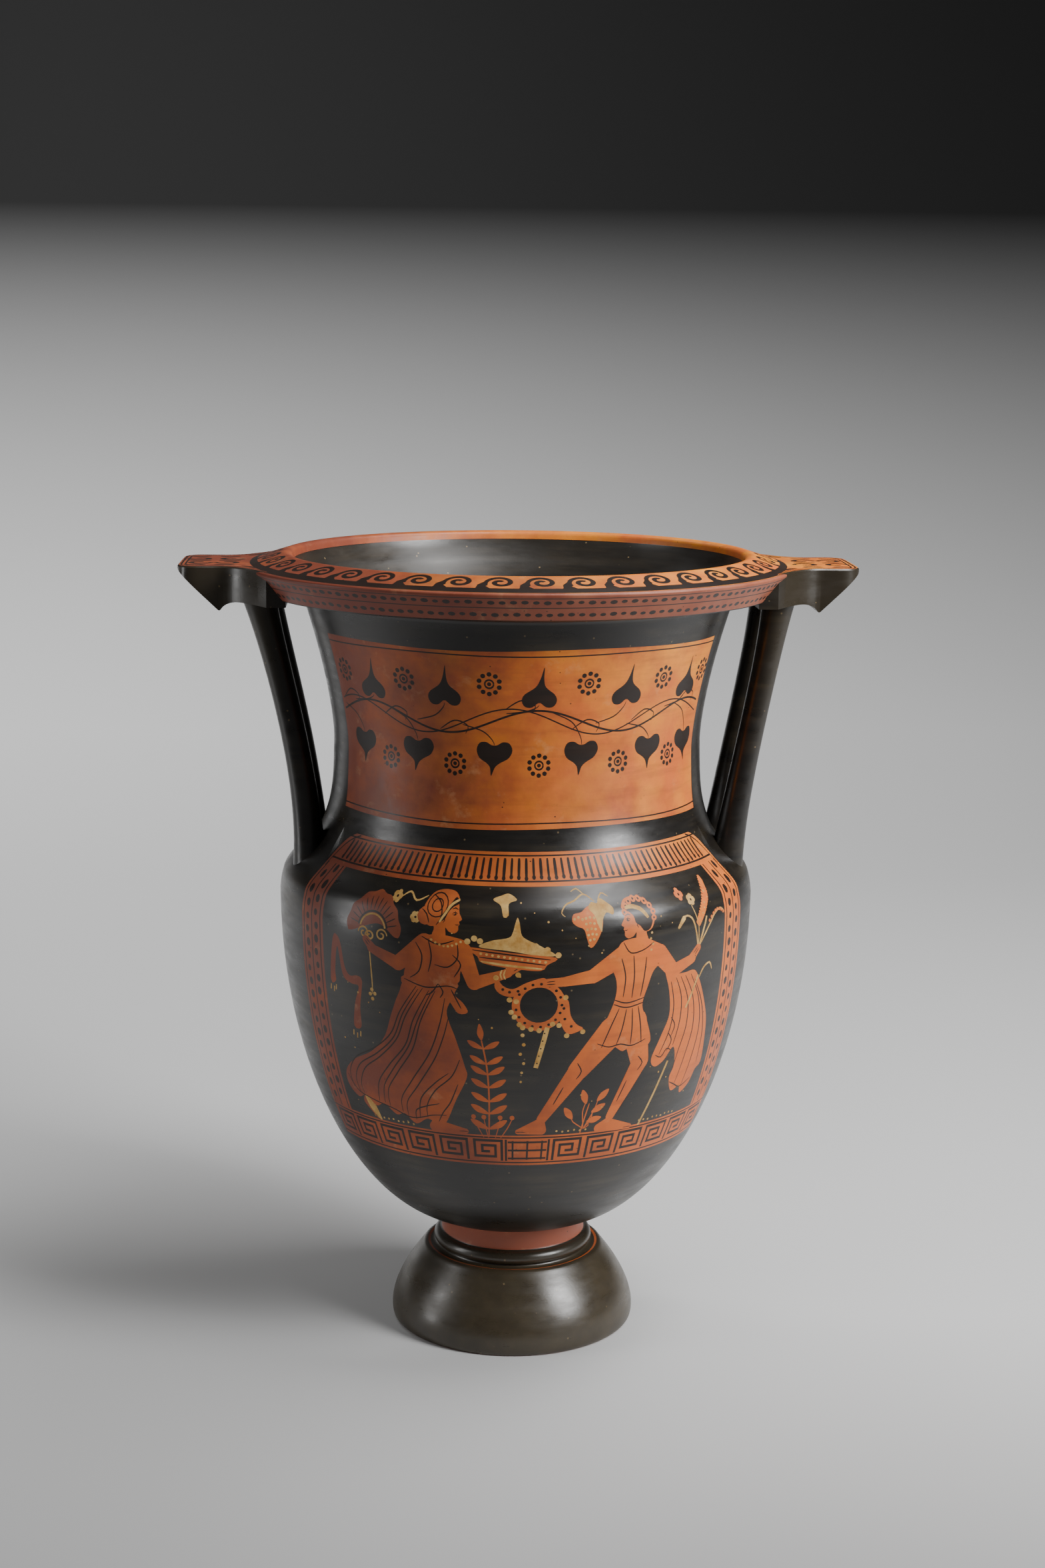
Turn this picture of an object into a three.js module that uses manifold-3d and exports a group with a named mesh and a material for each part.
// A column krater: a wheel-thrown clay bowl for mixing wine, on a moulded foot, with a wide neck,
// an overhanging rim and a plate at each side of the rim that stands on two round columns.
// Millimetres, +Z up. The origin is the middle of the foot's underside, the handles are on +X and -X,
// and the painted picture is on the side towards -Y. The whole vessel is one fired piece.

import * as THREE from 'three';
import { mergeVertices } from 'three/addons/utils/BufferGeometryUtils.js';
import Module from 'manifold-3d';

// Heights above the floor.
const HEIGHT = 520;                 // ridge of the lip
const NECK_HEIGHT = 400;            // narrowest place of the neck
const BELLY_HEIGHT = 299;           // widest place of the body
const BOWL_BASE_HEIGHT = 77;        // where the body sits on its stem
const FOOT_HEIGHT = 50;             // top of the foot's rounded side
const FOOT_WIDEST_HEIGHT = 8;       // widest place of the foot

// Radii.
const MOUTH_RADIUS = 146;
const RIM_RADIUS = 177;
const NECK_TOP_RADIUS = 138.6;
const NECK_RADIUS = 119.6;
const BELLY_RADIUS = 155.4;
const BOWL_BASE_RADIUS = 51;
const STEM_RADIUS = 48;
const COLLAR_RADIUS = 53;
const FOOT_SHOULDER_RADIUS = 60;
const FOOT_RADIUS = 81.6;

// Walls.
const WALL = 7;                     // body, neck and floor of the bowl
const REST_WIDTH = 15;              // ring that the foot stands on
const FOOT_FLOOR = 9;               // clay over the hollow under the foot

// Rim.
const RIDGE_WIDTH = 5;              // mouth edge to ridge
const MOUTH_DROP = 2;               // mouth edge under the ridge
const RIM_FALL = 8;                 // outer top edge under the ridge
const RIM_DEPTH = 25;               // lower edge of the band under the ridge
const RIM_LEAN = 12;                // how far the band leans in
const RIM_UNDERCUT = 6;             // from the band's lower edge down to the neck

// Collar and groove above the foot.
const GROOVE_WIDTH = 5;
const COLLAR_HEIGHT = 9;
const STEM_RISE = 7;                // straight stretch of the stem

// Handle plates.
const PLATE_REACH = 219;            // tip of a plate from the axis
const PLATE_HALF_WIDTH = 38;
const PLATE_CORNER = 13;
const PLATE_FLARE = 24;             // how much wider a plate is where it leaves the rim
const PLATE_LIP = 7;                // upright edge at the tip
const BLOCK_DEPTH = 28;             // lower corner of the block under the plate's top
const BLOCK_SETBACK = 27;           // lower corner of the block, inwards from the tip
const BLOCK_NOTCH = 6;              // hollow under the block
const BLOCK_UNDERSIDE = 15;         // from the lower corner in to the columns

// Handle columns.
const COLUMN_RADIUS = 9.5;
const COLUMN_SPREAD = 30;           // centre of a column from the handle's middle plane
const COLUMN_TOP_SETBACK = 11;      // top of a column, inwards from the rim's edge
const COLUMN_FOOT_HEIGHT = 336;     // where a column stands on the shoulder
const COLUMN_OFFSET = 1;            // its centre line, outwards from the shoulder's surface there
const COLUMN_FLARE = 7;             // extra radius at the root of a column, inside the shoulder
const COLUMN_HEAD = 3;              // extra radius where a column meets its block

// Fineness of the facets.
const ROUND_STEPS = 56;
const BOWL_STEPS = 9;
const SHOULDER_STEPS = 8;
const NECK_STEPS = 4;
const FOOT_STEPS = 5;
const COLUMN_STEPS = 12;
const COLUMN_SIDES = 12;
const CURVE_STEPS = 6;

const CLAY = new THREE.MeshStandardMaterial({ name: 'painted clay', color: 0x1d1a18, roughness: 0.4, metalness: 0 });

const BOWL_FULLNESS = 1.77;
const NECK_BEND = 1.5;
const FOOT_BEND = 1.65;
// Shares of the way from belly to neck: height, then the share of the radius that is left.
const SHOULDER_TURN = [[0, 1], [0.09, 0.965], [0.18, 0.85], [0.35, 0.37], [0.5, 0.156], [0.7, 0.036], [1, 0]];

const NECK_TOP_HEIGHT = HEIGHT - RIM_DEPTH - RIM_UNDERCUT;

function mix(from, to, share) {
  return from + (to - from) * share;
}

// Outer face of the body and neck, from the stem up to the underside of the rim.
function wallPoints() {
  const points = [];
  for (let i = 0; i < BOWL_STEPS; i++) {
    const rise = Math.pow(i / BOWL_STEPS, 1.7);
    const swell = Math.pow(1 - (1 - rise) * (1 - rise), 1 / BOWL_FULLNESS);
    const height = mix(BOWL_BASE_HEIGHT, BELLY_HEIGHT, rise);
    points.push(new THREE.Vector2(mix(BOWL_BASE_RADIUS, BELLY_RADIUS, swell), height));
  }
  points.push(...shoulderCurve().getPoints(SHOULDER_STEPS));
  for (let i = 1; i <= NECK_STEPS; i++) {
    const rise = i / NECK_STEPS;
    const radius = mix(NECK_RADIUS, NECK_TOP_RADIUS, Math.pow(rise, NECK_BEND));
    points.push(new THREE.Vector2(radius, mix(NECK_HEIGHT, NECK_TOP_HEIGHT, rise)));
  }
  return points;
}

function shoulderCurve() {
  const turn = SHOULDER_TURN.map(([rise, left]) => new THREE.Vector2(
    mix(NECK_RADIUS, BELLY_RADIUS, left), mix(BELLY_HEIGHT, NECK_HEIGHT, rise)));
  return new THREE.SplineCurve(turn);
}

// Radius of the outer wall at a height, read off the wall's own points.
function wallRadius(height) {
  const points = wallPoints();
  for (let i = 1; i < points.length; i++) {
    if (points[i].y >= height) {
      const share = (height - points[i - 1].y) / (points[i].y - points[i - 1].y);
      return mix(points[i - 1].x, points[i].x, share);
    }
  }
  return NECK_TOP_RADIUS;
}

// The foot's rounded side, the groove on it, the collar and the stem.
function footPoints() {
  const points = [[0, 0], [FOOT_RADIUS - 1, 0]];
  for (let i = 0; i <= FOOT_STEPS; i++) {
    const rise = i / FOOT_STEPS;
    const radius = mix(FOOT_SHOULDER_RADIUS, FOOT_RADIUS, 1 - Math.pow(rise, FOOT_BEND));
    points.push([radius, mix(FOOT_WIDEST_HEIGHT, FOOT_HEIGHT, rise)]);
  }
  const collarBase = FOOT_HEIGHT + 1;
  points.push([FOOT_SHOULDER_RADIUS - GROOVE_WIDTH, collarBase]);
  points.push([COLLAR_RADIUS - 1, collarBase + COLLAR_HEIGHT * 0.12]);
  points.push([COLLAR_RADIUS, collarBase + COLLAR_HEIGHT * 0.5]);
  points.push([COLLAR_RADIUS - 1.5, collarBase + COLLAR_HEIGHT * 0.88]);
  points.push([STEM_RADIUS, collarBase + COLLAR_HEIGHT]);
  points.push([STEM_RADIUS, collarBase + COLLAR_HEIGHT + STEM_RISE]);
  return points.map(([r, z]) => new THREE.Vector2(r, z));
}

// The band, the sloping top and the ridge of the rim, from the neck up and in to the mouth.
function rimPoints() {
  const points = [
    [RIM_RADIUS - RIM_LEAN - 1.5, HEIGHT - RIM_DEPTH - 0.5],
    [RIM_RADIUS - RIM_LEAN, HEIGHT - RIM_DEPTH + 0.8],
    [RIM_RADIUS - 0.6, HEIGHT - RIM_FALL - 1.6],
    [RIM_RADIUS - 1.2, HEIGHT - RIM_FALL],
    [MOUTH_RADIUS + RIDGE_WIDTH + 1.5, HEIGHT - 0.3],
    [MOUTH_RADIUS + RIDGE_WIDTH - 1, HEIGHT],
    [MOUTH_RADIUS, HEIGHT - MOUTH_DROP],
    [0, HEIGHT - MOUTH_DROP],
  ];
  return points.map(([r, z]) => new THREE.Vector2(r, z));
}

// Inner face: the outer wall moved in by the wall's thickness, then out to the mouth's edge.
function hollowPoints() {
  const wall = wallPoints();
  const inner = [new THREE.Vector2(0, BOWL_BASE_HEIGHT + WALL)];
  for (let i = 1; i < wall.length; i++) {
    const before = wall[i - 1];
    const after = wall[Math.min(i + 1, wall.length - 1)];
    const along = after.clone().sub(before).normalize();
    inner.push(new THREE.Vector2(wall[i].x - along.y * WALL, wall[i].y + along.x * WALL));
  }
  inner.push(new THREE.Vector2(MOUTH_RADIUS - 1.5, HEIGHT - MOUTH_DROP - 4));
  inner.push(new THREE.Vector2(MOUTH_RADIUS, HEIGHT - MOUTH_DROP));
  inner.push(new THREE.Vector2(MOUTH_RADIUS, HEIGHT + WALL));
  inner.push(new THREE.Vector2(0, HEIGHT + WALL));
  return inner;
}

// The cone-shaped hollow under the foot.
function underfootPoints() {
  const ring = FOOT_RADIUS - REST_WIDTH;
  const top = BOWL_BASE_HEIGHT + WALL - FOOT_FLOOR - WALL / 2;
  const points = [
    [0, -WALL],
    [ring, -WALL],
    [ring, 0],
    [ring * 0.88, top * 0.26],
    [ring * 0.62, top * 0.62],
    [ring * 0.4, top * 0.9],
    [0, top],
  ];
  return points.map(([r, z]) => new THREE.Vector2(r, z));
}

// Where a plate's flared sides leave the rim's edge, and the root of the plate inside the rim.
const PLATE_ROOT_WIDTH = PLATE_HALF_WIDTH + PLATE_FLARE;
const PLATE_LEAVE = Math.sqrt(RIM_RADIUS * RIM_RADIUS - PLATE_ROOT_WIDTH * PLATE_ROOT_WIDTH) - 3;
const PLATE_ROOT = PLATE_LEAVE - RIM_LEAN;

// Plan of one plate: square at the rim, drawn in to its waist, with round corners at the tip.
function plateShape() {
  const inside = PLATE_ROOT;
  const wide = PLATE_ROOT_WIDTH;
  const leave = PLATE_LEAVE;
  const waist = mix(RIM_RADIUS, PLATE_REACH, 0.35);
  const corner = PLATE_REACH - PLATE_CORNER;
  const shape = new THREE.Shape();
  shape.moveTo(inside, -wide);
  shape.lineTo(leave, -wide);
  shape.bezierCurveTo(leave + 7, -wide + 12, RIM_RADIUS, -PLATE_HALF_WIDTH, waist, -PLATE_HALF_WIDTH + 1);
  shape.lineTo(corner, -PLATE_HALF_WIDTH);
  shape.quadraticCurveTo(PLATE_REACH - 1, -PLATE_HALF_WIDTH, PLATE_REACH, -PLATE_HALF_WIDTH + PLATE_CORNER);
  shape.lineTo(PLATE_REACH, PLATE_HALF_WIDTH - PLATE_CORNER);
  shape.quadraticCurveTo(PLATE_REACH - 1, PLATE_HALF_WIDTH, corner, PLATE_HALF_WIDTH);
  shape.lineTo(waist, PLATE_HALF_WIDTH - 1);
  shape.bezierCurveTo(RIM_RADIUS, PLATE_HALF_WIDTH, leave + 7, wide - 12, leave, wide);
  shape.lineTo(inside, wide);
  return shape;
}

// Side view of one plate with the block under it: x outwards, y upwards.
function blockShape() {
  const top = HEIGHT - RIM_FALL + 1;
  const inside = PLATE_ROOT - WALL;
  const cornerX = PLATE_REACH - BLOCK_SETBACK;
  const cornerZ = top - BLOCK_DEPTH;
  const shape = new THREE.Shape();
  shape.moveTo(inside, top);
  shape.lineTo(inside, cornerZ + BLOCK_NOTCH);
  shape.lineTo(cornerX - BLOCK_UNDERSIDE, cornerZ + BLOCK_NOTCH);
  shape.quadraticCurveTo(cornerX - 4, cornerZ + BLOCK_NOTCH, cornerX, cornerZ);
  shape.lineTo(PLATE_REACH - 1.5, top - PLATE_LIP);
  shape.quadraticCurveTo(PLATE_REACH + 0.5, top - PLATE_LIP * 0.5, PLATE_REACH - 2, top);
  return shape;
}

// One column: a tube of changing radius whose rings follow a curve in a plane beside the handle's middle.
function columnGeometry(side) {
  const footX = wallRadius(COLUMN_FOOT_HEIGHT) + COLUMN_OFFSET;
  const rootZ = mix(BELLY_HEIGHT, COLUMN_FOOT_HEIGHT, 0.35);
  const topX = RIM_RADIUS - COLUMN_TOP_SETBACK;
  const topZ = HEIGHT - RIM_DEPTH;
  const rise = topZ - COLUMN_FOOT_HEIGHT;
  const path = new THREE.CubicBezierCurve3(
    new THREE.Vector3(footX, side * COLUMN_SPREAD, rootZ),
    new THREE.Vector3(footX, side * COLUMN_SPREAD, COLUMN_FOOT_HEIGHT + rise * 0.28),
    new THREE.Vector3(mix(footX, topX, 0.5), side * COLUMN_SPREAD, COLUMN_FOOT_HEIGHT + rise * 0.58),
    new THREE.Vector3(topX, side * COLUMN_SPREAD, topZ),
  );
  const tube = new THREE.CylinderGeometry(1, 1, 1, COLUMN_SIDES, COLUMN_STEPS);
  const place = tube.attributes.position;
  for (let i = 0; i < place.count; i++) {
    const share = place.getY(i) + 0.5;
    const spot = path.getPoint(share);
    const along = path.getTangent(share);
    const outwards = new THREE.Vector3(along.z, 0, -along.x);
    const flare = COLUMN_FLARE * Math.pow(1 - share, 5) + COLUMN_HEAD * Math.pow(share, 8);
    const radius = COLUMN_RADIUS + flare;
    spot.addScaledVector(outwards, place.getX(i) * radius);
    spot.y -= place.getZ(i) * radius;
    place.setXYZ(i, spot.x, spot.y, spot.z);
  }
  return tube;
}

const wasm = await Module();
wasm.setup();

// A closed three.js geometry as a solid that can be joined and cut.
function solid(geometry) {
  const bare = geometry.index ? geometry.clone() : geometry;
  bare.deleteAttribute('normal');
  bare.deleteAttribute('uv');
  const merged = mergeVertices(bare, 1e-4);
  const corners = merged.index.array;
  const kept = [];
  for (let i = 0; i < corners.length; i += 3) {
    const [a, b, c] = [corners[i], corners[i + 1], corners[i + 2]];
    if (a !== b && b !== c && c !== a) {
      kept.push(a, b, c);
    }
  }
  return new wasm.Manifold(new wasm.Mesh({
    numProp: 3,
    vertProperties: new Float32Array(merged.attributes.position.array),
    triVerts: new Uint32Array(kept),
  }));
}

function turned(points) {
  const lathe = new THREE.LatheGeometry(points, ROUND_STEPS);
  lathe.rotateX(Math.PI / 2);
  return solid(lathe);
}

function plateSolid() {
  const low = HEIGHT - RIM_DEPTH * 3;
  const plan = new THREE.ExtrudeGeometry(plateShape(), {
    depth: HEIGHT - low, bevelEnabled: false, curveSegments: CURVE_STEPS });
  plan.translate(0, 0, low);
  const depth = 2 * (PLATE_HALF_WIDTH + PLATE_FLARE + WALL);
  const section = new THREE.ExtrudeGeometry(blockShape(), {
    depth, bevelEnabled: false, curveSegments: CURVE_STEPS });
  section.rotateX(Math.PI / 2);
  section.translate(0, depth / 2, 0);
  return solid(plan).intersect(solid(section));
}

function handleSolid() {
  let handle = plateSolid();
  for (const side of [-1, 1]) {
    handle = handle.add(solid(columnGeometry(side)));
  }
  return handle;
}

// Outer form, then both handles, then the two hollows cut away.
function vesselGeometry() {
  const outside = [...footPoints(), ...wallPoints(), ...rimPoints()];
  let vessel = turned(outside);
  const handle = handleSolid();
  vessel = vessel.add(handle).add(handle.rotate([0, 0, 180]));
  vessel = vessel.subtract(turned(hollowPoints())).subtract(turned(underfootPoints()));
  const mesh = vessel.getMesh();
  const geometry = new THREE.BufferGeometry();
  geometry.setAttribute('position', new THREE.BufferAttribute(new Float32Array(mesh.vertProperties), 3));
  geometry.setIndex(new THREE.BufferAttribute(new Uint32Array(mesh.triVerts), 1));
  geometry.computeVertexNormals();
  return geometry;
}

const krater = new THREE.Mesh(vesselGeometry(), CLAY);
krater.name = 'krater';

const model = new THREE.Group();
model.add(krater);

export default model;
